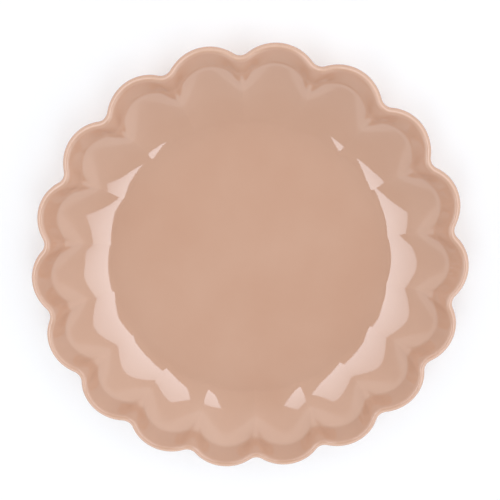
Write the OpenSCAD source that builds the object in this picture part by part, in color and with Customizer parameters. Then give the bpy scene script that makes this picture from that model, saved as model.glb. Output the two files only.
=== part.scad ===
// Scalloped dessert plate in glazed stoneware.
// The origin is the centre of the plate on the surface that it stands on, +Z is up
// and the tip of one lobe lies towards +X. Every size is in millimetres.
//
// The rim is a ring of round lobes with a rounded notch between each pair. Each level
// of the plate is a contour of the same kind, drawn in from the rim: the notches turn
// into ridges, which get crisper and lower down the wall and end at the flat well.
// A contour is known by the radius of its lobe tips, so one profile of tip radius and
// height draws each surface, and the surfaces of the clay and of its glaze never cross.

/* [Plate] */
// Width across the tips of the lobes
plate_w = 210; // [170:1:320]
// Height from the table to the crest of the lip
plate_h = 26; // [20:0.5:44]
// Number of lobes round the rim
lobes = 18; // [12:1:28]
// Depth of a notch at the rim, measured in from the tips of the lobes
scallop_d = 5.8; // [3:0.1:9]
// Radius of the rounded notch between two lobes
notch_r = 5.3; // [3:0.1:9]

/* [Rim] */
// Thickness of the rounded lip and of the steep band below it
lip_t = 3.6; // [2.6:0.1:5.4]
// Width of the steep band, from the tips of the lobes in to its foot
band_w = 8.2; // [7:0.1:13]
// Height of the steep band, from its foot up to the crest of the lip
band_h = 7.7; // [5:0.1:10]
// Reach of the curve where the steep band meets the wall
shoulder_run = 1.4; // [0.6:0.1:3]

/* [Well] */
// Radius of the flat well, out to the crease where the wall starts
well_r = 71; // [56:0.5:80]
// Reach of the rounding in that crease
crease_run = 1; // [0.4:0.1:3]
// Thickness of the floor under the well, glaze included
floor_t = 3.8; // [3:0.1:7]

/* [Wall] */
// Slope of the wall as it leaves the well, in degrees
wall_low_a = 14.5; // [10:0.5:20]
// Slope of the wall as it reaches the steep band, in degrees
wall_high_a = 36; // [33:0.5:44]

/* [Flutes] */
// Depth of the scallops where the wall leaves the well
flute_d = 1; // [0.4:0.1:2.5]
// Radius of the crest of a ridge low on the wall
ridge_r = 2; // [1:0.1:5]

/* [Foot] */
// Height of the bare foot ring
foot_h = 2; // [1.5:0.1:5]
// Width of the foot ring
foot_w = 4.5; // [3:0.1:8]
// Distance from the edge of the flat well in to the outside of the foot ring
foot_inset = 8.5; // [4:0.1:16]
// Rounding of the two lower edges of the foot ring
foot_edge_r = 0.8; // [0.3:0.1:1.4]

/* [Glaze] */
// Thickness of the coat of glaze
glaze_t = 0.3; // [0.15:0.05:0.5]
// Width of the bare line left between the glaze and the foot ring
bare_line = 0.8; // [0.3:0.1:1.4]

/* [Firing] */
// Growth of the rim along its long axis, where the fired plate is a little oval
oval_d = 0.75; // [0:0.05:1.5]
// Growth of the rim in three directions, where it drew in unevenly as it dried
uneven_d = 0.8; // [0:0.05:1.5]
// Direction of the long axis, in degrees from +X
oval_dir = 50; // [0:1:180]
// Direction of one of the three, in degrees from +X
uneven_dir = 86; // [0:1:120]

/* [Hidden] */

$fn = 96;
rim_r = plate_w / 2;
lip_r = lip_t / 2;
// Tip radius of the contour where the lip ends on the inside
lip_in_r = rim_r - lip_t;
// Height of the eating surface, and of the lowest glaze under the plate
floor_z = foot_h - glaze_t + floor_t;
under_z = foot_h - glaze_t;
foot_out_r = well_r - foot_inset;
foot_in_r = foot_out_r - foot_w;
// Where the glaze stops on each side of the foot ring
back_edge_r = foot_out_r + bare_line;
base_edge_r = foot_in_r - bare_line;

// Angle of one lobe, and half of it
pitch = 360 / lobes;
half = pitch / 2;
// Where the points of a contour lie on a lobe, from its tip round to the next tip
lobe_shares = [0, 0.15, 0.275, 0.375, 0.445, 0.5, 0.555, 0.625, 0.725, 0.85];
angles = [for (lobe = [0 : lobes - 1]) for (share = lobe_shares) pitch * (lobe + share)];
turn = len(angles);

// How far up the wall a contour lies: 0 at the well and 1 at the lip
function wall_share(tip) = min(1, max(0, (tip - well_r) / (lip_in_r - well_r)));

// Depth of the scallops on the contour whose tips are at radius tip: they deepen up the
// wall along a smooth step. Inside the well they fade into a plain circle, which is the
// edge of the glaze by the foot ring.
function scallop(tip) =
    lookup(tip, [[back_edge_r, 0], [well_r, flute_d]])
    + (scallop_d - flute_d) * pow(wall_share(tip), 4) * (5 - 4 * wall_share(tip));

// Radius of the ridge on that contour. Over the lip it grows as a true offset of the
// rim does, and below the lip the ridge gets crisper with the fourth power of the way.
function crest(tip) = tip > lip_in_r
    ? notch_r + rim_r - tip
    : ridge_r + (notch_r + lip_t - ridge_r) * pow(wall_share(tip), 4);

// Radius of the lobe arc that joins tips at radius tip to ridges of radius q whose
// centres lie at radius m
function lobe_arc(tip, q, m) =
    (m * m - 2 * m * tip * cos(half) + tip * tip - q * q)
    / (2 * (tip + q - m * cos(half)));

// Growth of the contour at an angle as the plate was dried and fired
function warp(tip, angle) = wall_share(tip)
    * (oval_d * cos(2 * (angle - oval_dir)) + uneven_d * cos(3 * (angle - uneven_dir)));

// Radius of a contour at an angle: the lobe arc up to the point where it runs into the
// ridge, and the ridge from there to the middle of the notch
function contour(tip, angle) =
    let (
        q = crest(tip),
        m = tip - scallop(tip) + q,
        arc = lobe_arc(tip, q, m),
        c = tip - arc,
        join = [c, 0] + ([m * cos(half), m * sin(half)] - [c, 0]) * arc / (arc + q),
        off = abs((angle + half) % pitch - half),
        in_lobe = off < atan2(join[1], join[0]),
        away = half - off
    )
    warp(tip, angle) + (in_lobe
        ? c * cos(off) + sqrt(arc * arc - pow(c * sin(off), 2))
        : m * cos(away) - sqrt(max(0, q * q - pow(m * sin(away), 2))));

// A station of a profile is [tip radius, height, normal out, normal up]. The profile
// runs out over the face, over the lip and back in underneath.
function station(p, d) = [p[0], p[1], -d[1] / norm(d), d[0] / norm(d)];

// A curve that leaves p towards corner and arrives at r, from share 0 to share 1
function curve(p, corner, r, shares) = [for (u = shares)
    station(
        pow(1 - u, 2) * p + 2 * u * (1 - u) * corner + u * u * r,
        (1 - u) * (corner - p) + u * (r - corner)
    )];

// Stations round the lip, at angles from upright that are positive towards the well
lip_centre = [rim_r - lip_r, plate_h - lip_r];
function round_lip(leans) = [for (lean = leans)
    station(
        lip_centre + lip_r * [-sin(lean), cos(lean)],
        [cos(lean), sin(lean)]
    )];

// A profile moved under its surface by a depth
function sunk(line, depth) =
    [for (s = line) [s[0] - depth * s[2], s[1] - depth * s[3], s[2], s[3]]];

function backwards(line) = [for (i = [len(line) - 1 : -1 : 0]) line[i]];

// Point where a line up from p at slope a meets a line down from q at slope b
function crossing(p, a, q, b) =
    let (x = (q[1] - p[1] + p[0] * tan(a) - q[0] * tan(b)) / (tan(a) - tan(b)))
    [x, p[1] + (x - p[0]) * tan(a)];

function way(a) = [cos(a), sin(a)];

// Corners of the face: the crease round the well and the foot of the steep band, with
// the wall as one curve from the first to the second
well_edge = [well_r, floor_z];
band_foot = [rim_r - band_w, plate_h - band_h];
wall_corner = crossing(well_edge, wall_low_a, band_foot, wall_high_a);
// The steep band runs up until it touches the round of the lip
lip_way = lip_centre - band_foot;
band_a = atan2(lip_way[1], lip_way[0]) + asin(lip_r / norm(lip_way));

// Corners of the underside: the wall is as thick as the floor at the well and as thick
// as the lip from the shoulder up
back_well = [well_r + floor_t * tan(wall_low_a / 2), under_z];
shoulder_mid = (wall_high_a + band_a) / 2;
back_shoulder = band_foot
    + lip_t / cos(band_a - shoulder_mid) * [sin(shoulder_mid), -cos(shoulder_mid)];
back_corner = crossing(back_well, wall_low_a, back_shoulder, wall_high_a);
// Under the lip the outside drops straight down and then turns in along the band
lip_side = [rim_r, plate_h - lip_r];
lip_heel = [rim_r, back_shoulder[1] + (rim_r - back_shoulder[0]) * tan(band_a)];

// Shares along the wall at which its crease and its shoulder meet it
low_share = crease_run / (2 * norm(wall_corner - well_edge));
high_share = 1 - shoulder_run / (2 * norm(band_foot - wall_corner));
rise_shares = [0, 0.33, 0.67, 1];
wall_shares = [for (u = rise_shares) low_share + u * (high_share - low_share)];
back_wall_shares = [1 - high_share, 0.5, 1 - low_share];
heel_shares = [0, 1];
start_shares = [0, 0.5];
end_shares = [0.5, 1];

face_line = concat(
    curve(well_edge - [crease_run, 0], well_edge, well_edge + crease_run * way(wall_low_a),
        start_shares),
    curve(well_edge, wall_corner, band_foot, wall_shares),
    curve(band_foot - shoulder_run * way(wall_high_a), band_foot,
        band_foot + shoulder_run * way(band_a), end_shares),
    round_lip([band_a, band_a / 2, 0])
);

back_line = concat(
    round_lip([0, -45]),
    curve(lip_side, lip_heel, lip_heel - norm(lip_heel - lip_side) * way(band_a),
        heel_shares),
    [station(back_shoulder + shoulder_run * way(band_a), -way(band_a))],
    curve(back_shoulder, back_corner, back_well, back_wall_shares),
    [station(back_well - [crease_run, 0], [-1, 0])]
);

// The bare line round the foot ring, where the glaze of the underside stops
glaze_edge = [[back_edge_r, under_z, 0, -1]];

// Skin over a profile carried round the plate. Each patch is cut from the inner
// contour to the next point of the outer one, so two pieces that share a surface
// share its patches too.
function ring_points(line) = [for (s = line) for (angle = angles)
    let (radius = contour(s[0], angle))
    [radius * cos(angle), radius * sin(angle), s[1]]];

function runs_out(s, t) = s[0] < t[0] || (s[0] == t[0] && s[1] < t[1]);

function patches(line, rings) = [for (i = [0 : rings - 1]) for (j = [0 : turn - 1])
    let (
        next_i = (i + 1) % len(line),
        next_j = (j + 1) % turn,
        a = i * turn + j,
        b = i * turn + next_j,
        c = next_i * turn + next_j,
        d = next_i * turn + j
    )
    each runs_out(line[i], line[next_i])
        ? [[a, b, c], [a, c, d]]
        : [[a, b, d], [b, c, d]]];

// A piece that spans the middle of the plate, closed by a flat fan above and below
module dish(line) {
    last = len(line) - 1;
    top = len(line) * turn;
    bottom = top + 1;
    polyhedron(
        points = concat(
            ring_points(line),
            [[0, 0, line[0][1]], [0, 0, line[last][1]]]
        ),
        faces = concat(
            patches(line, last),
            [for (j = [0 : turn - 1]) [top, (j + 1) % turn, j]],
            [for (j = [0 : turn - 1])
                [bottom, last * turn + j, last * turn + (j + 1) % turn]]
        )
    );
}

// A piece that goes round the plate and leaves the middle open
module hoop(line) {
    polyhedron(points = ring_points(line), faces = patches(line, len(line)));
}

// Fired clay of the well, wall and lip
module clay_body() {
    color([0.80, 0.72, 0.63])
    dish(concat(
        sunk(face_line, glaze_t),
        [for (i = [1 : len(back_line) - 1]) sunk(back_line, glaze_t)[i]]
    ));
}

// Bare ring that the plate stands on, with its two lower edges rounded
module foot_ring() {
    color([0.78, 0.68, 0.58])
    rotate_extrude() {
        translate([foot_in_r, foot_edge_r])
            square([foot_w, foot_h - foot_edge_r]);
        translate([foot_in_r + foot_edge_r, 0])
            square([foot_w - 2 * foot_edge_r, foot_edge_r]);
        for (edge = [foot_in_r + foot_edge_r, foot_out_r - foot_edge_r])
            translate([edge, foot_edge_r])
                circle(r = foot_edge_r);
    }
}

// Glaze of the eating surface, from the crest of the lip down over the well
module face_glaze() {
    color([0.81, 0.66, 0.58])
    dish(concat(face_line, backwards(sunk(face_line, glaze_t))));
}

// Glaze of the outside, from the crest of the lip down to the bare line at the foot
module back_glaze() {
    skin = concat(back_line, glaze_edge);
    color([0.77, 0.62, 0.54])
    hoop(concat(skin, backwards(sunk(skin, glaze_t))));
}

// Glaze of the recess inside the foot ring
module base_glaze() {
    color([0.77, 0.62, 0.54])
    translate([0, 0, under_z])
        cylinder(r = base_edge_r, h = glaze_t);
}

clay_body();
foot_ring();
face_glaze();
back_glaze();
base_glaze();
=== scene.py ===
import math

import bpy
import numpy as np
from mathutils import Matrix, Vector


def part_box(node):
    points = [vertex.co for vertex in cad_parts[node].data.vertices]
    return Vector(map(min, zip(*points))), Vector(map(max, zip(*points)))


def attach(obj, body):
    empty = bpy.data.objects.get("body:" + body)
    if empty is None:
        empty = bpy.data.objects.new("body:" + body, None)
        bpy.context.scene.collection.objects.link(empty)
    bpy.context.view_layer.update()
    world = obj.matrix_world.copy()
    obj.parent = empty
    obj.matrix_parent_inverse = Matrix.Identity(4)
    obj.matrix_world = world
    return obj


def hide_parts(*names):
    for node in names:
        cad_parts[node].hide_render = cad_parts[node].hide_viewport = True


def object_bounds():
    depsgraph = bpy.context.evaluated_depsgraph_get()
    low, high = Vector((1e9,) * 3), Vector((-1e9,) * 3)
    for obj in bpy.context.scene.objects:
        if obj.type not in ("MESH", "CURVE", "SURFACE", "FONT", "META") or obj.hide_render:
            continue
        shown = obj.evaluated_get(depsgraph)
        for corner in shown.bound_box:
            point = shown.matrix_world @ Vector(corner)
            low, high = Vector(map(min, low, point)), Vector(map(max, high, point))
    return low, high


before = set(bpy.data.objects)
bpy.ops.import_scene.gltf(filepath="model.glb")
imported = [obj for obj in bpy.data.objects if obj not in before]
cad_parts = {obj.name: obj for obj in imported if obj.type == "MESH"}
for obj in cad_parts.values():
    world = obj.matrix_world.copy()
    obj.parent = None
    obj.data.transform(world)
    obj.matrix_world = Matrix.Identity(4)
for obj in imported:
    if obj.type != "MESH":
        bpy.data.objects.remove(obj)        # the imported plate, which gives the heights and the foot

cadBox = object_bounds()
mm = 0.001

# Sizes of the plate in millimetres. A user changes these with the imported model's own.
plate = {
    "lobes": 18,
    "rimRadius": 105.0,          # to the tips of the lobes
    "scallopDepth": 5.8,         # of a notch at the rim
    "notchRadius": 5.3,
    "lipThickness": 3.6,
    "bandWidth": 8.2,            # steep band under the lip, from the lobe tips in
    "bandHeight": 7.7,           # and from its foot up to the crest
    "shoulderRun": 1.4,
    "wellRadius": 71.0,
    "creaseRun": 1.0,            # rounding where the wall leaves the well
    "wallLowSlope": 14.5,        # degrees, at the well
    "wallHighSlope": 36.0,       # degrees, at the steep band
    "fluteDepth": 1.0,           # of the scallops at the well
    "flutePower": 4,             # how late they deepen on the way up the wall
    "ridgeRadius": 2.0,
    "floorThickness": 3.8,
    "glazeThickness": 0.3,
    "footWidth": 4.5,
    "footEdge": 0.8,
    "ovalGrowth": 0.75,          # the fired rim is a little oval
    "ovalDirection": 50.0,
    "unevenGrowth": 0.8,         # and drew in unevenly in three directions
    "unevenDirection": 86.0,
    "drawnIn": 0.9985,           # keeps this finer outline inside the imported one
}

# How finely the surfaces are drawn
fineness = {
    "perHalfLobe": 16, "nearRidge": 1.6,      # columns, and how much closer by the ridges
    "wellRings": 16, "crease": 8, "wall": 30, "shoulder": 8, "band": 7, "lip": 14,
    "backWall": 22, "backFlat": 8,
    "sharpAngle": 50.0,                       # degrees, from which an edge stays crisp
}

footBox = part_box("foot_ring")
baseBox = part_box("base_glaze")
plateHeight = cadBox[1].z / mm
footHeight = footBox[1].z / mm
footOuter = footBox[1].x / mm
footInner = footOuter - plate["footWidth"]
baseEdge = baseBox[1].x / mm
underside = baseBox[0].z / mm
backEdge = footOuter + footInner - baseEdge          # the bare line is as wide on both sides
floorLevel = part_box("face_glaze")[0].z / mm + plate["glazeThickness"]
clayFloor = floorLevel - plate["glazeThickness"]
lipRadius = plate["lipThickness"] / 2
lipInside = plate["rimRadius"] - plate["lipThickness"]
halfLobe = math.pi / plate["lobes"]


def turnAngles():
    # Angles of the columns round the plate: from each lobe's middle to its ridge at one
    # less the power nearRidge of what is left, so they stand closer by the ridges.
    left = np.linspace(1, 0, fineness["perHalfLobe"] + 1)
    half = halfLobe * (1 - left**fineness["nearRidge"])
    lobe = np.concatenate([half, 2 * halfLobe - half[-2:0:-1]])
    return (np.arange(plate["lobes"])[:, None] * 2 * halfLobe + lobe).ravel()


angles = turnAngles()


def offTip(angle):
    # How far an angle is from the middle of its lobe.
    return np.abs((angle + halfLobe) % (2 * halfLobe) - halfLobe)


def wallShare(tip):
    # How far up the wall a contour lies, from 0 at the well to 1 at the lip.
    return np.clip((tip - plate["wellRadius"]) / (lipInside - plate["wellRadius"]), 0, 1)


def contour(tip, angle):
    # Radius of the contour whose lobe tips are at radius tip. A lobe is an arc centred
    # on its own axis, a notch is a small arc centred on the axis between two lobes, and
    # the two touch. With the power four, the notch depth follows the fourth power of the
    # way up the wall times five less four of it, and the notch arc's radius the fourth
    # power alone. Two slow waves round the rim are added.
    share, power = wallShare(tip), plate["flutePower"]
    fade = np.clip((tip - backEdge) / (plate["wellRadius"] - backEdge), 0, 1)
    growth = share**power * (power + 1 - power * share)
    depth = plate["fluteDepth"] * fade + (plate["scallopDepth"] - plate["fluteDepth"]) * growth
    soft = plate["notchRadius"] + plate["lipThickness"]
    low = plate["ridgeRadius"] + (soft - plate["ridgeRadius"]) * share**power
    ridge = np.where(tip > lipInside, plate["notchRadius"] + plate["rimRadius"] - tip, low)
    axis = tip - depth + ridge
    across = axis * math.cos(halfLobe)
    arc = (axis**2 - 2 * across * tip + tip**2 - ridge**2) / (2 * (tip + ridge - across))
    centre = tip - arc
    touch = arc / (arc + ridge)
    touchX = centre + (across - centre) * touch
    touchY = axis * math.sin(halfLobe) * touch
    off = offTip(angle)
    away = halfLobe - off
    lobe = np.sqrt(np.maximum(0, arc**2 - (centre * np.sin(off))**2)) + centre * np.cos(off)
    notch = axis * np.cos(away) - np.sqrt(np.maximum(0, ridge**2 - (axis * np.sin(away))**2))
    oval = plate["ovalGrowth"] * np.cos(2 * (angle - math.radians(plate["ovalDirection"])))
    uneven = plate["unevenGrowth"] * np.cos(3 * (angle - math.radians(plate["unevenDirection"])))
    return np.where(off < np.arctan2(touchY, touchX), lobe, notch) + share * (oval + uneven)


def way(degrees):
    # A step of one along a slope.
    return np.array([math.cos(math.radians(degrees)), math.sin(math.radians(degrees))])


def crossing(p, a, q, b):
    # Where a line up from p at slope a meets a line down from q at slope b.
    ta, tb = math.tan(math.radians(a)), math.tan(math.radians(b))
    x = (q[1] - p[1] + p[0] * ta - q[0] * tb) / (ta - tb)
    return np.array([x, p[1] + (x - p[0]) * ta])


def stations(points, directions):
    # A profile's stations: place, and the normal a quarter turn left of the direction.
    unit = directions / np.linalg.norm(directions, axis=1, keepdims=True)
    return np.column_stack([points, -unit[:, 1], unit[:, 0]])


def bend(p, corner, r, count, start=0, end=1):
    # Stations of a curve that leaves p towards corner and arrives at r, between shares:
    # the weights of the three are (1 - u) squared, 2u(1 - u) and u squared.
    u = np.linspace(start, end, count)[:, None]
    points = (1 - u)**2 * p + 2 * u * (1 - u) * corner + u**2 * r
    return stations(points, (1 - u) * (corner - p) + u * (r - corner))


def straight(p, q, count):
    # Stations of a straight line, evenly spaced.
    u = np.linspace(0, 1, count)[:, None]
    return stations(p + u * (q - p), np.repeat([q - p], count, 0))


def lipRound(start, end, count):
    # Stations round the lip between two leans from upright, positive towards the well.
    lean = np.radians(np.linspace(start, end, count))
    points = lipCentre + lipRadius * np.column_stack([-np.sin(lean), np.cos(lean)])
    return stations(points, np.column_stack([np.cos(lean), np.sin(lean)]))


wellEdge = np.array([plate["wellRadius"], floorLevel])
bandFoot = np.array([plate["rimRadius"] - plate["bandWidth"], plateHeight - plate["bandHeight"]])
lipCentre = np.array([plate["rimRadius"] - lipRadius, plateHeight - lipRadius])
wallCorner = crossing(wellEdge, plate["wallLowSlope"], bandFoot, plate["wallHighSlope"])
toLip = lipCentre - bandFoot
toLipLength = math.hypot(*toLip)
bandSlope = math.degrees(math.atan2(toLip[1], toLip[0]) + math.asin(lipRadius / toLipLength))
lipFoot = bandFoot + way(bandSlope) * math.sqrt(toLipLength**2 - lipRadius**2)
lowShare = plate["creaseRun"] / 2 / np.linalg.norm(wallCorner - wellEdge)
highShare = 1 - plate["shoulderRun"] / 2 / np.linalg.norm(bandFoot - wallCorner)


def faceProfile():
    # The eating surface from the middle out: flat well, crease, one curve for the wall,
    # shoulder, straight steep band, and the lip up to its crest.
    middle = np.array([0.0, floorLevel])
    flatEnd = wellEdge - [plate["creaseRun"], 0]
    wallStart = wellEdge + plate["creaseRun"] * way(plate["wallLowSlope"])
    wallEnd = bandFoot - plate["shoulderRun"] * way(plate["wallHighSlope"])
    bandStart = bandFoot + plate["shoulderRun"] * way(bandSlope)
    return np.concatenate([
        straight(middle, flatEnd, fineness["wellRings"])[1:-1],
        bend(flatEnd, wellEdge, wallStart, fineness["crease"])[:-1],
        bend(wellEdge, wallCorner, bandFoot, fineness["wall"], lowShare, highShare)[:-1],
        bend(wallEnd, bandFoot, bandStart, fineness["shoulder"])[:-1],
        straight(bandStart, lipFoot, fineness["band"])[:-1],
        lipRound(bandSlope, 0, fineness["lip"]),
    ])


def backProfile():
    # The outside from the crest of the lip down: round of the lip, a short drop that
    # turns in along the band, the wall one thickness behind the face, and the flat.
    low, high = plate["wallLowSlope"], plate["wallHighSlope"]
    middle = math.radians((high + bandSlope) / 2)
    reach = plate["lipThickness"] / math.cos(math.radians(bandSlope) - middle)
    shoulder = bandFoot + reach * np.array([math.sin(middle), -math.cos(middle)])
    wellGrowth = plate["floorThickness"] * math.tan(math.radians(low / 2))
    well = np.array([plate["wellRadius"] + wellGrowth, underside])
    corner = crossing(well, low, shoulder, high)
    side = np.array([plate["rimRadius"], plateHeight - lipRadius])
    drop = (side[0] - shoulder[0]) * math.tan(math.radians(bandSlope))
    heel = np.array([side[0], shoulder[1] + drop])
    heelEnd = heel - np.linalg.norm(heel - side) * way(bandSlope)
    bandEnd = shoulder + plate["shoulderRun"] * way(bandSlope)
    wallStart = shoulder - plate["shoulderRun"] * way(high)
    wallEnd = well + plate["creaseRun"] * way(low)
    flatStart = well - [plate["creaseRun"], 0]
    edge = np.array([backEdge, underside])
    return np.concatenate([
        lipRound(0, -90, fineness["lip"])[:-1],
        bend(side, heel, heelEnd, fineness["shoulder"])[:-1],
        straight(heelEnd, bandEnd, fineness["band"])[:-1],
        bend(bandEnd, shoulder, wallStart, fineness["shoulder"])[:-1],
        bend(shoulder, corner, well, fineness["backWall"], 1 - highShare, 1 - lowShare)[:-1],
        bend(wallEnd, well, flatStart, fineness["crease"])[:-1],
        straight(flatStart, edge, fineness["backFlat"]),
    ])


def sunk(line, depth):
    # The profile moved by a depth under its surface, against its normals.
    moved = line.copy()
    moved[:, :2] -= line[:, 2:] * depth
    return moved


def carried(line):
    # The profile carried round the plate: radius from the contour, height from the
    # profile. The result is a grid of stations by angles by x, y and z.
    tip, angle = np.meshgrid(line[:, 0], angles, indexing="ij")
    radius = plate["drawnIn"] * contour(tip, angle)
    height = np.repeat(line[:, 1:2], len(angles), 1)
    return np.stack([radius * np.cos(angle), radius * np.sin(angle), height], -1)


def turned(line):
    # A plain profile turned round the axis: each radius is the same at every angle.
    radius, height = line[:, :1], line[:, 1:2] + 0 * angles
    return np.stack([radius * np.cos(angles), radius * np.sin(angles), height], -1)


def normalsOf(grid):
    # Normals of a carried grid, from the cross product of its two directions.
    along = np.gradient(grid, axis=0)
    around = np.roll(grid, -1, 1) - np.roll(grid, 1, 1)
    normal = np.cross(along, around)
    return normal / np.linalg.norm(normal, axis=-1, keepdims=True)


def makePiece(name, grid, marks, hoop=False, poles=()):
    # A closed skin over a grid: each cell is one face, the last row joins the first on a
    # hoop, and a pole closes the first and the last row otherwise. Faces point outwards.
    rows, columns = grid.shape[:2]
    index = np.arange(rows * columns).reshape(rows, columns)
    nextRow = np.roll(index, -1, 0)
    nextColumn = np.roll(index, -1, 1)
    both = np.roll(nextRow, -1, 1)
    cells = np.stack([index, nextRow, both, nextColumn], -1)
    cells = (cells if hoop else cells[:-1]).reshape(-1, 4)
    points = grid.reshape(-1, 3)
    faces = cells.tolist()
    if poles:
        points = np.concatenate([points, [[0, 0, poles[0]], [0, 0, poles[1]]]])
        pole = np.full(columns, rows * columns)
        faces += np.stack([pole, index[0], nextColumn[0]], -1).tolist()
        faces += np.stack([pole + 1, nextColumn[-1], index[-1]], -1).tolist()
    mesh = bpy.data.meshes.new(name)
    mesh.from_pydata((points * mm).tolist(), [], faces)
    for mark, values in marks.items():
        layer = mesh.attributes.new(mark, "FLOAT", "POINT")
        full = np.zeros(len(points), np.float32)      # a pole has no mark
        full[:values.size] = values.ravel()
        layer.data.foreach_set("value", full)
    mesh.polygons.foreach_set("use_smooth", np.ones(len(mesh.polygons), bool))
    mesh.set_sharp_from_angle(angle=math.radians(fineness["sharpAngle"]))
    mesh.update()
    piece = bpy.data.objects.new(name, mesh)
    bpy.context.collection.objects.link(piece)
    return piece


def addNode(tree, kind, spot, **values):
    # A node at a spot of the tree. A value goes to the socket or the setting of its name.
    node = tree.nodes.new(kind)
    node.location = spot
    for key, value in values.items():
        if key in node.inputs:
            node.inputs[key].default_value = value
        else:
            setattr(node, key, value)
    return node


def feed(tree, sockets, sources):
    # Gives each socket its source, which is a value or another node's output.
    for socket, source in zip(sockets, sources):
        if isinstance(source, bpy.types.NodeSocket):
            tree.links.new(source, socket)
        else:
            socket.default_value = source


def addMath(tree, spot, operation, *sources):
    # One operation on numbers, each a value or an output.
    node = addNode(tree, "ShaderNodeMath", spot, operation=operation)
    feed(tree, node.inputs, sources)
    return node.outputs[0]


def mixColour(tree, spot, first, second, share):
    # Mixes two colours by a share from 0 to 1. Each is a value or an output.
    node = addNode(tree, "ShaderNodeMix", spot, data_type="RGBA")
    feed(tree, (node.inputs[6], node.inputs[7], node.inputs[0]), (first, second, share))
    return node.outputs[2]                # these four are the sockets of a colour mix


def mapRange(tree, spot, source, fromRange, toRange):
    # Maps one range evenly to another, and holds the end values beyond it.
    node = addNode(tree, "ShaderNodeMapRange", spot)
    sockets = [node.inputs[key] for key in ("Value", "From Min", "From Max", "To Min", "To Max")]
    feed(tree, sockets, (source, *fromRange, *toRange))
    return node.outputs["Result"]


def addBump(tree, spot, source, depth, under=None):
    # Bumps of a depth in metres, over the bumps under them if there are any.
    node = addNode(tree, "ShaderNodeBump", spot, Distance=depth)
    tree.links.new(source, node.inputs["Height"])
    if under is not None:
        tree.links.new(under, node.inputs["Normal"])
    return node.outputs["Normal"]


def addNoise(tree, spot, where, grain):
    # A noise of the place, of a scale per metre and so many levels of detail.
    node = addNode(tree, "ShaderNodeTexNoise", spot, Scale=grain[0], Detail=grain[1])
    tree.links.new(where, node.inputs["Vector"])
    return node.outputs["Fac"]


def addMark(tree, spot, name):
    # The piece's own mark of a name, or nothing where it has none.
    return addNode(tree, "ShaderNodeAttribute", spot, attribute_name=name).outputs["Fac"]


def newMaterial(name):
    # A plain material, with its tree, its shader and the place on the object.
    material = bpy.data.materials.new(name)
    material.use_nodes = True
    tree = material.node_tree
    where = addNode(tree, "ShaderNodeTexCoord", (-1300, 0)).outputs["Object"]
    return material, tree, tree.nodes["Principled BSDF"], where


def srgb(red, green, blue):
    # A colour written as it looks on a screen, 0 to 255, as the shader's linear one.
    return tuple(((c / 255 + 0.055) / 1.055)**2.4 for c in (red, green, blue)) + (1.0,)


noiseMiddle = (0.3, 0.7)               # most of a noise lies between these

blushGlaze = {
    "body": srgb(210, 167, 142),
    "cloud": srgb(206, 161, 135),      # where the coat is a shade thicker
    "thinAndHighlight": srgb(240, 202, 178),       # over the ridges, where it ran thin, and over the lip's crest, where it ran thin and is partly a painted highlight
    "poolAndShade": srgb(178, 130, 108),       # glaze pooled in the crease and at its own edge, and painted shade below the lip outside
    "clouds": (26.0, 3.0),             # scale and detail of each noise
    "grains": (520.0, 2.0),
    "waves": (75.0, 1.0),
    "peel": (620.0, 2.0),
    "thinAndHighlightGrain": (0.8, 1.0),           # how evenly it ran thin, and how evenly the painted crest highlight lies
    "roughness": (0.04, 0.07),
    "ior": 1.6,
    "coat": 0.95,
    "coatRoughness": 0.02,
    "waveHeight": 0.00001,
    "peelHeight": 0.0000012,
}


def glazeMaterial(name, look):
    # A clear gloss over a coloured coat: the coat turns paler where its pale mark says that it
    # is thin, with a painted highlight on the lip's crest, and deeper where its dark mark says
    # that it gathered, with painted shade below the lip outside.
    material, tree, shader, where = newMaterial(name)
    clouds = addNoise(tree, (-1080, 300), where, look["clouds"])
    grains = addNoise(tree, (-1080, 60), where, look["grains"])
    waves = addNoise(tree, (-1080, -240), where, look["waves"])
    peel = addNoise(tree, (-1080, -480), where, look["peel"])
    cloudy = mapRange(tree, (-860, 300), clouds, noiseMiddle, (0, 1))
    coat = mixColour(tree, (-640, 300), look["body"], look["cloud"], cloudy)
    # deeper where the glaze pooled, and painted shade below the lip outside
    pooledAndShaded = mixColour(tree, (-440, 420), coat, look["poolAndShade"], addMark(tree, (-860, 740), "poolAndShade"))
    grainy = mapRange(tree, (-860, 60), grains, noiseMiddle, look["thinAndHighlightGrain"])
    # paler where the glaze ran thin, and a painted highlight on the lip's crest
    thinAndHighlight = addMath(tree, (-640, 560), "MULTIPLY", addMark(tree, (-860, 560), "thinAndHighlight"), grainy)
    colour = mixColour(tree, (-240, 420), pooledAndShaded, look["thinAndHighlight"], thinAndHighlight)
    rough = mapRange(tree, (-440, 60), clouds, noiseMiddle, look["roughness"])
    waved = addBump(tree, (-440, -240), waves, look["waveHeight"])
    peeled = addBump(tree, (-240, -360), peel, look["peelHeight"], waved)
    sockets = ("Base Color", "Roughness", "Normal", "Coat Normal", "IOR", "Coat Weight", "Coat Roughness")
    feed(tree, [shader.inputs[key] for key in sockets],
         (colour, rough, peeled, peeled, look["ior"], look["coat"], look["coatRoughness"]))
    return material


firedClay = {
    "body": srgb(204, 184, 160),
    "shade": srgb(186, 163, 136),
    "speck": srgb(120, 88, 62),
    "worn": srgb(168, 146, 122),
    "clouds": (90.0, 4.0),             # scale and detail
    "grains": (1500.0, 3.0),
    "speckScale": 420.0,
    "speckSize": 0.16,
    "grainHeight": 0.00004,
    "roughness": (0.72, 0.9),
    "ior": 1.45,
}


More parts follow.
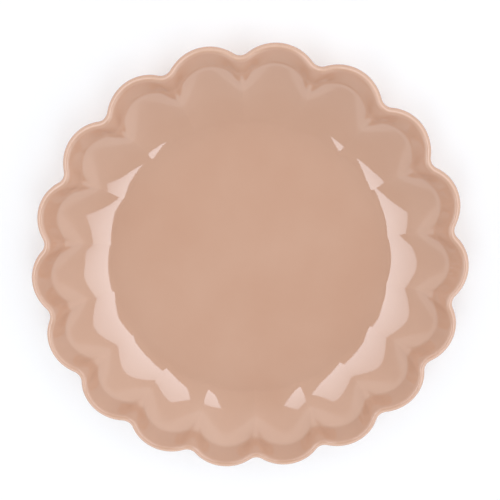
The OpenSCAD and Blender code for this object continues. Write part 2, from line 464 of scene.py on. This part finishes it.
def clayMaterial(name, look):
    # Matt fired clay: two near colours in slow clouds, a sandy grain that also stands
    # up, few dark iron specks, and a darker rub where the mark worn says so.
    material, tree, shader, where = newMaterial(name)
    clouds = addNoise(tree, (-1080, 300), where, look["clouds"])
    grains = addNoise(tree, (-1080, 0), where, look["grains"])
    cells = addNode(tree, "ShaderNodeTexVoronoi", (-1080, -300), Scale=look["speckScale"])
    tree.links.new(where, cells.inputs["Vector"])
    speck = addMath(tree, (-860, -300), "LESS_THAN", cells.outputs["Distance"], look["speckSize"])
    cloudy = mapRange(tree, (-860, 300), clouds, noiseMiddle, (0, 1))
    body = mixColour(tree, (-640, 300), look["body"], look["shade"], cloudy)
    rubbed = mixColour(tree, (-440, 400), body, look["worn"], addMark(tree, (-860, 560), "worn"))
    colour = mixColour(tree, (-240, 300), rubbed, look["speck"], speck)
    rough = mapRange(tree, (-640, 0), grains, noiseMiddle, look["roughness"])
    sandy = addBump(tree, (-440, -200), grains, look["grainHeight"])
    sockets = ("Base Color", "Roughness", "Normal", "IOR")
    feed(tree, [shader.inputs[key] for key in sockets], (colour, rough, sandy, look["ior"]))
    return material


# How the glaze ran, with a painted highlight on the lip's crest and painted shade below it: shares of the
# pale and the dark colour, each with its reach in mm
glazeFlow = {
    "lipThinAndHighlight": 0.58, "lipReach": 0.5, "lipOut": 0.15,      # pale crest, thin glaze and partly a painted highlight, a little outside
    "lipShade": 0.8, "lipShadeReach": 0.9,                   # darker painted shade below it, outside, where the lip turns down
    "ridgeThin": 0.02, "ridgeReach": 1.6,
    "creasePool": 0.03, "creaseReach": 1.6,
    "edgePool": 0.4, "edgeReach": 1.5,                     # at its free edge
}

# The kiln left its surface a little uneven, in slow crossed waves
kiln = {
    "height": 0.02, "length": 34.0,                        # mm
    "sway": 1.3, "swayLength": 2.3,                        # of the first wave, in lengths
    "crossings": ((0.5, 0.83, 1.31, 2.1),                  # along x and y, lengths, start
                  (-0.64, 0.72, 1.74, 0.7)),
    "calm": 3.0,                                           # where they fade, below the crest
}


def bell(distance, reach):
    # One in the middle, and e to the minus square of distance over reach away from it.
    return np.exp(-(distance / reach)**2)


def kilnWaves(grid):
    # Height of the uneven glaze: the mean of a sine along x that sways with y and of a
    # sine along each crossing, so it stays between minus and plus the named height. It
    # falls to nothing towards the crest in a straight line.
    x, y, z = np.moveaxis(grid, -1, 0)
    turn = 2 * math.pi / kiln["length"]
    waves = np.sin(turn * x + kiln["sway"] * np.sin(turn * y / kiln["swayLength"]))
    for alongX, alongY, lengths, start in kiln["crossings"]:
        waves = waves + np.sin(turn * (alongX * x + alongY * y) / lengths + start)
    calm = np.clip((plateHeight - z) / kiln["calm"], 0, 1)
    return kiln["height"] * calm * waves / (1 + len(kiln["crossings"]))


def glazeMarks(line, grid, outside):
    # Marks of a glazed surface. The pale mark is a bell over the crest of the lip, thin glaze
    # there and partly a painted highlight, and, on the face, one over each ridge that grows up the
    # wall. The dark mark is a bell in the crease where the glaze pooled, or on the outside one of
    # painted shade below the lip and one of pooled glaze at the free edge.
    tip, height = line[:, :1], line[:, 1:2]
    blank = np.zeros(grid.shape[:2])
    crest = bell(tip - lipCentre[0] - glazeFlow["lipOut"], glazeFlow["lipReach"])
    # the lip's pale crest: thin glaze, and partly a painted highlight
    thinAndHighlight = glazeFlow["lipThinAndHighlight"] * crest * (height > lipCentre[1]) + blank
    if outside:
        poolAndShade = glazeFlow["edgePool"] * bell(tip - backEdge, glazeFlow["edgeReach"])
        # painted shade on the outside just below the lip
        poolAndShade = poolAndShade + glazeFlow["lipShade"] * bell(height - lipCentre[1], glazeFlow["lipShadeReach"])
    else:
        away = (halfLobe - offTip(angles)) * np.hypot(grid[..., 0], grid[..., 1])
        ridge = bell(away, glazeFlow["ridgeReach"]) * wallShare(tip)
        thinAndHighlight = np.maximum(thinAndHighlight, glazeFlow["ridgeThin"] * ridge)
        poolAndShade = glazeFlow["creasePool"] * bell(tip - plate["wellRadius"], glazeFlow["creaseReach"])
    return thinAndHighlight, poolAndShade + blank


def coatOf(line, outside):
    # A coat of glaze: its free surface, with the kiln's waves, and the clay's surface
    # under it, walked back to the start.
    outer = carried(line)
    outer = outer + normalsOf(outer) * kilnWaves(outer)[..., None]
    inner = carried(sunk(line, plate["glazeThickness"])[::-1])
    thinAndHighlight, poolAndShade = glazeMarks(line, outer, outside)
    blank = np.zeros(inner.shape[:2])
    marks = {"thinAndHighlight": np.concatenate([thinAndHighlight, blank]), "poolAndShade": np.concatenate([poolAndShade, blank])}
    return np.concatenate([outer, inner]), marks


def dress(piece, node, material):
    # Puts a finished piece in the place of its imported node.
    piece.data.materials.append(material)
    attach(piece, "root")
    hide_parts(node)
    print("plate:", piece.name, "made of", len(piece.data.polygons), "faces")


gloss = glazeMaterial("blush glaze", blushGlaze)
clay = clayMaterial("fired clay", firedClay)

faceLine = faceProfile()
backLine = backProfile()

grid, marks = coatOf(faceLine, outside=False)
face = makePiece("glazed_face", grid, marks, poles=(floorLevel, clayFloor))
dress(face, "face_glaze", gloss)

grid, marks = coatOf(backLine, outside=True)
back = makePiece("glazed_back", grid, marks, hoop=True)
dress(back, "back_glaze", gloss)

# The clay fills both coats: under the face out to the lip, and back in under the back
clayLine = sunk(np.concatenate([faceLine, backLine[1:]]), plate["glazeThickness"])
body = makePiece("clay_plate", carried(clayLine), {}, poles=(clayFloor, footHeight))
dress(body, "clay_body", clay)

bareFoot = {
    "edgeSteps": 10, "sideSteps": 5, "soleSteps": 16,
    "toolMark": 0.02, "toolPitch": 0.55,       # turning marks, mm up and down and apart
    "worn": 0.7,
}


def footPiece():
    # The foot ring: its outline is turned round the axis. The sole and both rounded
    # edges carry fine turning marks, a sine of the radius.
    edge = plate["footEdge"]
    quarter = np.radians(np.linspace(0, 90, bareFoot["edgeSteps"]))
    inner = np.column_stack([footInner + edge - edge * np.cos(quarter), edge - edge * np.sin(quarter)])
    outer = np.column_stack([footOuter - edge + edge * np.sin(quarter), edge - edge * np.cos(quarter)])
    sole = np.linspace(footInner + edge, footOuter - edge, bareFoot["soleSteps"])[1:-1]
    soleLine = np.column_stack([sole, np.zeros(len(sole))])
    rise = np.linspace(footHeight, edge, bareFoot["sideSteps"])[:-1]
    down = np.column_stack([np.full(len(rise), footInner), rise])
    up = np.column_stack([np.full(len(rise), footOuter), rise[::-1]])
    line = np.concatenate([down, inner, soleLine, outer, up])[::-1]
    radius, height = line.T
    marking = 1 + np.sin(2 * math.pi * radius / bareFoot["toolPitch"])
    line = np.column_stack([radius, height + bareFoot["toolMark"] * marking * (height < edge)])
    worn = bareFoot["worn"] * np.clip(1 - line[:, 1:] / edge, 0, 1) + 0 * angles
    return makePiece("bare_foot", turned(line), {"worn": worn}, hoop=True)


dress(footPiece(), "foot_ring", clay)


def basePiece():
    # The pool of glaze inside the foot: a flat disc whose edge rolls down to the clay.
    thick = plate["glazeThickness"]
    lean = np.radians(np.linspace(90, 0, fineness["crease"]))
    roll = np.column_stack([baseEdge - thick + thick * np.cos(lean), footHeight - thick * np.sin(lean)])
    flat = np.linspace(0, baseEdge - thick, fineness["wellRings"])[1:-1]
    under = np.column_stack([flat, np.full(len(flat), underside)])
    top = [[baseEdge / 2, footHeight]]
    line = np.concatenate([under, roll, top])[::-1]
    poolAndShade = glazeFlow["edgePool"] * bell(line[:, :1] - baseEdge, glazeFlow["edgeReach"]) + 0 * angles
    return makePiece("glazed_base", turned(line), {"poolAndShade": poolAndShade}, poles=(footHeight, underside))


dress(basePiece(), "base_glaze", gloss)


def addSurface(name, points):
    # One flat face of the studio, with an empty material.
    mesh = bpy.data.meshes.new(name)
    mesh.from_pydata(points.tolist(), [], [list(range(len(points)))])
    surface = bpy.data.objects.new(name, mesh)
    bpy.context.collection.objects.link(surface)
    material = bpy.data.materials.new(name)
    material.use_nodes = True
    material.node_tree.nodes.remove(material.node_tree.nodes["Principled BSDF"])
    mesh.materials.append(material)
    return surface, material.node_tree


floor = {"radius": 4.0, "corners": 96, "colour": (0.86, 0.86, 0.86, 1), "glow": 0.14}


def addFloor():
    # A round floor, matt and pale, which is clear when it is looked at from below.
    turn = np.linspace(0, 2 * math.pi, floor["corners"] + 1)[:-1]
    rim = np.column_stack([np.cos(turn), np.sin(turn), 0 * turn]) * floor["radius"]
    tree = addSurface("studio_floor", rim)[1]
    matt = addNode(tree, "ShaderNodeBsdfDiffuse", (-400, 200), Color=floor["colour"])
    glow = addNode(tree, "ShaderNodeEmission", (-400, 0), Strength=floor["glow"])
    both = addNode(tree, "ShaderNodeAddShader", (-200, 100))
    clear = addNode(tree, "ShaderNodeBsdfTransparent", (-200, -100))
    side = addNode(tree, "ShaderNodeNewGeometry", (-200, 320))
    pick = addNode(tree, "ShaderNodeMixShader", (0, 100))
    feed(tree, both.inputs, (matt.outputs[0], glow.outputs[0]))
    feed(tree, pick.inputs, (side.outputs["Backfacing"], both.outputs[0], clear.outputs[0]))
    tree.links.new(pick.outputs[0], tree.nodes["Material Output"].inputs["Surface"])


addFloor()
print("plate: floor laid")

# Two soft boxes, flat panels overhead. An outline is in shares of their height above the
# table: its inner corners, and then an arc in degrees about the middle, whose reach goes
# evenly from one value to the other. Each panel is brightest near the middle and falls
# off in a straight line from there.
softBoxes = {
    "height": 4.0, "colour": (0.93, 1.0, 1.09, 1),
    "brightness": (3.2, 1.85), "fall": (0.3, 0.775),       # and from where to where it falls
    "middle": (0.0, -0.25), "arcSteps": 24,
    "left": {
        "corners": ((-0.15, 0.315), (-0.20, 0.13), (-0.30, -0.06), (-0.31, -0.35),
                    (-0.29, -0.62), (-0.45, -0.55), (-0.62, -0.52)),
        "arc": (199, 118), "reach": (0.775, 0.775)},
    "right": {
        "corners": ((0.15, 0.325), (0.15, 0.14), (0.22, 0.0), (0.29, -0.12), (0.28, -0.45),
                    (0.18, -0.62), (0.4, -0.6), (0.77, -0.67), (0.70, -0.47)),
        "arc": (-12, 60), "reach": (0.695, 0.685)},
}


def addSoftBox(name, outline):
    # A panel that glows, unseen by the camera, by its distance from the middle.
    height = softBoxes["height"]
    turn = np.radians(np.linspace(*outline["arc"], softBoxes["arcSteps"]))
    reach = np.linspace(*outline["reach"], softBoxes["arcSteps"])[:, None]
    arc = softBoxes["middle"] + reach * np.column_stack([np.cos(turn), np.sin(turn)])
    flat = np.concatenate([outline["corners"], arc]) * height
    panel, tree = addSurface("soft_box_" + name, np.column_stack([flat, np.full(len(flat), height)]))
    panel.visible_camera = False
    where = addNode(tree, "ShaderNodeTexCoord", (-900, 0)).outputs["Object"]
    away = addNode(tree, "ShaderNodeVectorMath", (-620, 0), operation="DISTANCE")
    middle = [share * height for share in (*softBoxes["middle"], 1)]
    feed(tree, away.inputs, (where, middle))
    fall = [share * height for share in softBoxes["fall"]]
    strength = mapRange(tree, (-340, 0), away.outputs["Value"], fall, softBoxes["brightness"])
    light = addNode(tree, "ShaderNodeEmission", (-150, 0), Color=softBoxes["colour"])
    tree.links.new(strength, light.inputs["Strength"])
    tree.links.new(light.outputs[0], tree.nodes["Material Output"].inputs["Surface"])


for side in ("left", "right"):
    addSoftBox(side, softBoxes[side])
print("plate: soft boxes hung")

room = {
    "brightness": 1.6,
    "upright": (-0.045, -0.272, 1.0),      # what its heights are measured along
    "heights": ((0.0, 0.39), (0.06, 0.39), (0.18, 0.70), (0.3, 0.74), (0.62, 0.72), (0.67, 0.47),
                (0.74, 0.42), (0.80, 0.38), (0.88, 0.27), (0.97, 0.21)),     # height and share
    "brightSide": (0.78, 0.63, 0.0), "swing": 0.12,        # and how much brighter it is there
    "fadeHeights": (0.0, 0.14), "backdrop": (1.0, 0.0),    # it fades over these true heights
}


def addDot(tree, spot, direction, axis):
    # How far a direction goes along an axis.
    node = addNode(tree, "ShaderNodeVectorMath", spot, operation="DOT_PRODUCT")
    feed(tree, node.inputs, (direction, axis))
    return node.outputs["Value"]


def addRoom():
    # The room's own light: a ramp over the height of the direction makes the walls light
    # and the ceiling between the soft boxes darker, and it swings a little sideways.
    # Near the true horizon a plain white backdrop shows where it is brighter than that.
    world = bpy.data.worlds.new("studio")
    world.use_nodes = True
    bpy.context.scene.world = world
    tree = world.node_tree
    direction = addNode(tree, "ShaderNodeTexCoord", (-1100, 0)).outputs["Generated"]
    swing = addDot(tree, (-900, 100), direction, Vector(room["brightSide"]) * room["swing"])
    height = addDot(tree, (-900, -100), direction, room["upright"])
    ramp = addNode(tree, "ShaderNodeValToRGB", (-740, -100))
    stops = ramp.color_ramp.elements
    while len(stops) < len(room["heights"]):
        stops.new(1.0)
    for stop, (level, share) in zip(stops, room["heights"]):
        stop.position = level
        stop.color = (share, share, share, 1)
    tree.links.new(height, ramp.inputs["Fac"])
    walls = addMath(tree, (-450, 0), "MULTIPLY_ADD", ramp.outputs["Color"], room["brightness"], swing)
    parts = addNode(tree, "ShaderNodeSeparateXYZ", (-900, -400))
    tree.links.new(direction, parts.inputs[0])
    backdrop = mapRange(tree, (-700, -400), parts.outputs["Z"], room["fadeHeights"], room["backdrop"])
    light = tree.nodes["Background"]
    lighter = addMath(tree, (-250, -100), "MAXIMUM", walls, backdrop)
    feed(tree, (light.inputs["Color"], light.inputs["Strength"]), ((1, 1, 1, 1), lighter))


addRoom()
print("plate: room lit")

# The camera stands past the vertical over the +Y side and looks back across the plate
view = {
    "eye": (7.2, 76.6, 301.5), "aim": (0.96, 11.94, 26.0),     # mm
    "pictureUp": (0.0368, 1.0, 0.0),
    "lens": 43.2,
    "clip": (0.01, 20),                                        # metres
}


def addCamera():
    # Looks from eye to aim, with pictureUp towards the top of the picture.
    eye, aim, up = (Vector(view[key]) for key in ("eye", "aim", "pictureUp"))
    forward = (aim - eye).normalized()
    right = forward.cross(up).normalized()
    turn = Matrix((right, right.cross(forward), -forward)).transposed().to_4x4()
    lens = bpy.data.cameras.new("camera")
    lens.lens = view["lens"]
    lens.clip_start, lens.clip_end = view["clip"]
    camera = bpy.data.objects.new("camera", lens)
    camera.matrix_world = Matrix.Translation(eye * mm) @ turn
    bpy.context.collection.objects.link(camera)
    bpy.context.scene.camera = camera


addCamera()
bpy.context.scene.view_settings.view_transform = "Standard"

print("plate: scene ready")
